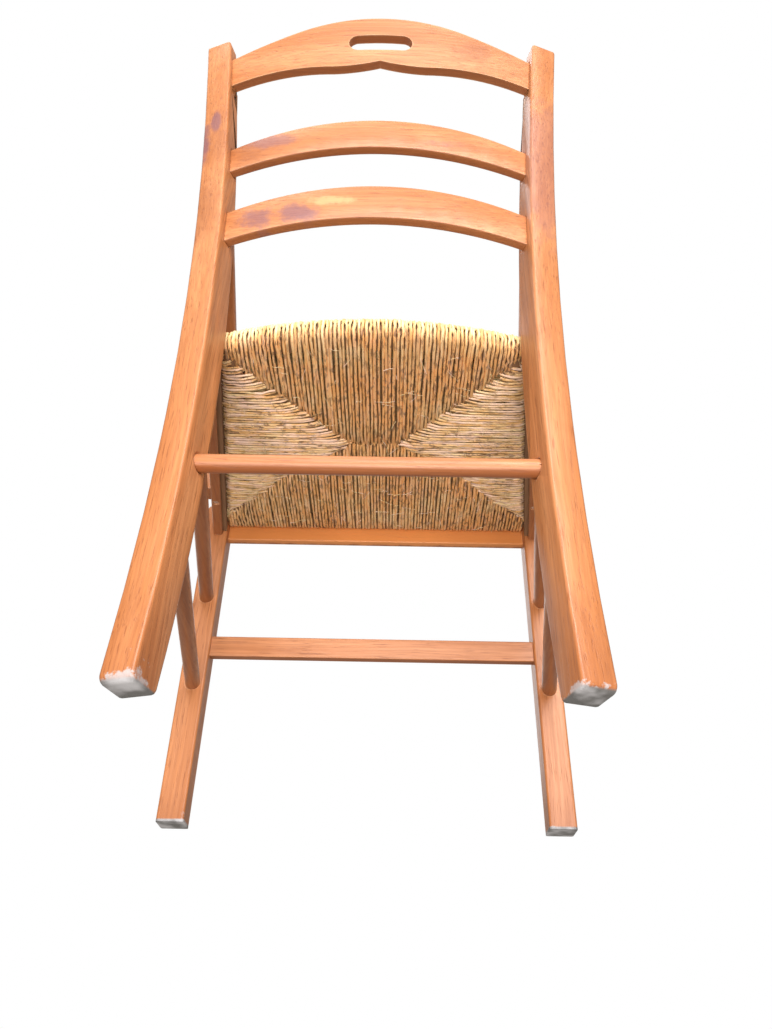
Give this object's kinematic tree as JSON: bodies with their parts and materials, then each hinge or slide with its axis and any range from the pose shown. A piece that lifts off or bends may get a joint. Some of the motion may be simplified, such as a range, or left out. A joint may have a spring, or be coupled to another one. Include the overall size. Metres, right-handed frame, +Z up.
{
  "type": "rush-seated armchair",
  "caption": "Ladder-back armchair with bowed back boards, curved rear legs, turned arm supports and a woven rush drop-in seat.",
  "frame": {"origin": "centre of the chair's bounding box in plan, on the floor under the feet", "axes": "+Z up, -Y the way the sitter faces, +X the sitter's left"},
  "size_m": [0.5162, 0.5418, 0.907],
  "materials": {
    "varnished_wood": "semi-gloss orange-brown varnish, worn on edges and feet",
    "plain_wood": "bare sawn softwood",
    "rush": "matt twisted rush, dusty underneath",
    "straw": "loose rush ends packed flat",
    "steel": "dull steel, a little rusted"
  },
  "bodies": {
    "root": {"rear_leg_left": "varnished_wood", "rear_leg_right": "varnished_wood", "front_leg_left": "varnished_wood", "front_leg_right": "varnished_wood", "top_rail": "varnished_wood", "upper_slat": "varnished_wood", "lower_slat": "varnished_wood", "arm_left": "varnished_wood", "arm_right": "varnished_wood", "arm_support_left": "varnished_wood", "arm_support_right": "varnished_wood", "front_rail": "varnished_wood", "side_rail_left": "varnished_wood", "side_rail_right": "varnished_wood", "front_stretcher": "varnished_wood", "rear_stretcher": "varnished_wood", "upper_side_stretcher_left": "varnished_wood", "upper_side_stretcher_right": "varnished_wood", "lower_side_stretcher_left": "varnished_wood", "lower_side_stretcher_right": "varnished_wood", "ledger_left": "plain_wood", "ledger_right": "plain_wood", "seat_front_rail": "plain_wood", "seat_rear_rail": "plain_wood", "seat_side_rail_left": "plain_wood", "seat_side_rail_right": "plain_wood", "rush_seat": "rush", "seat_stuffing": "straw", "arm_support_screws": "steel", "ledger_brads": "steel"}
  },
  "joints": []
}
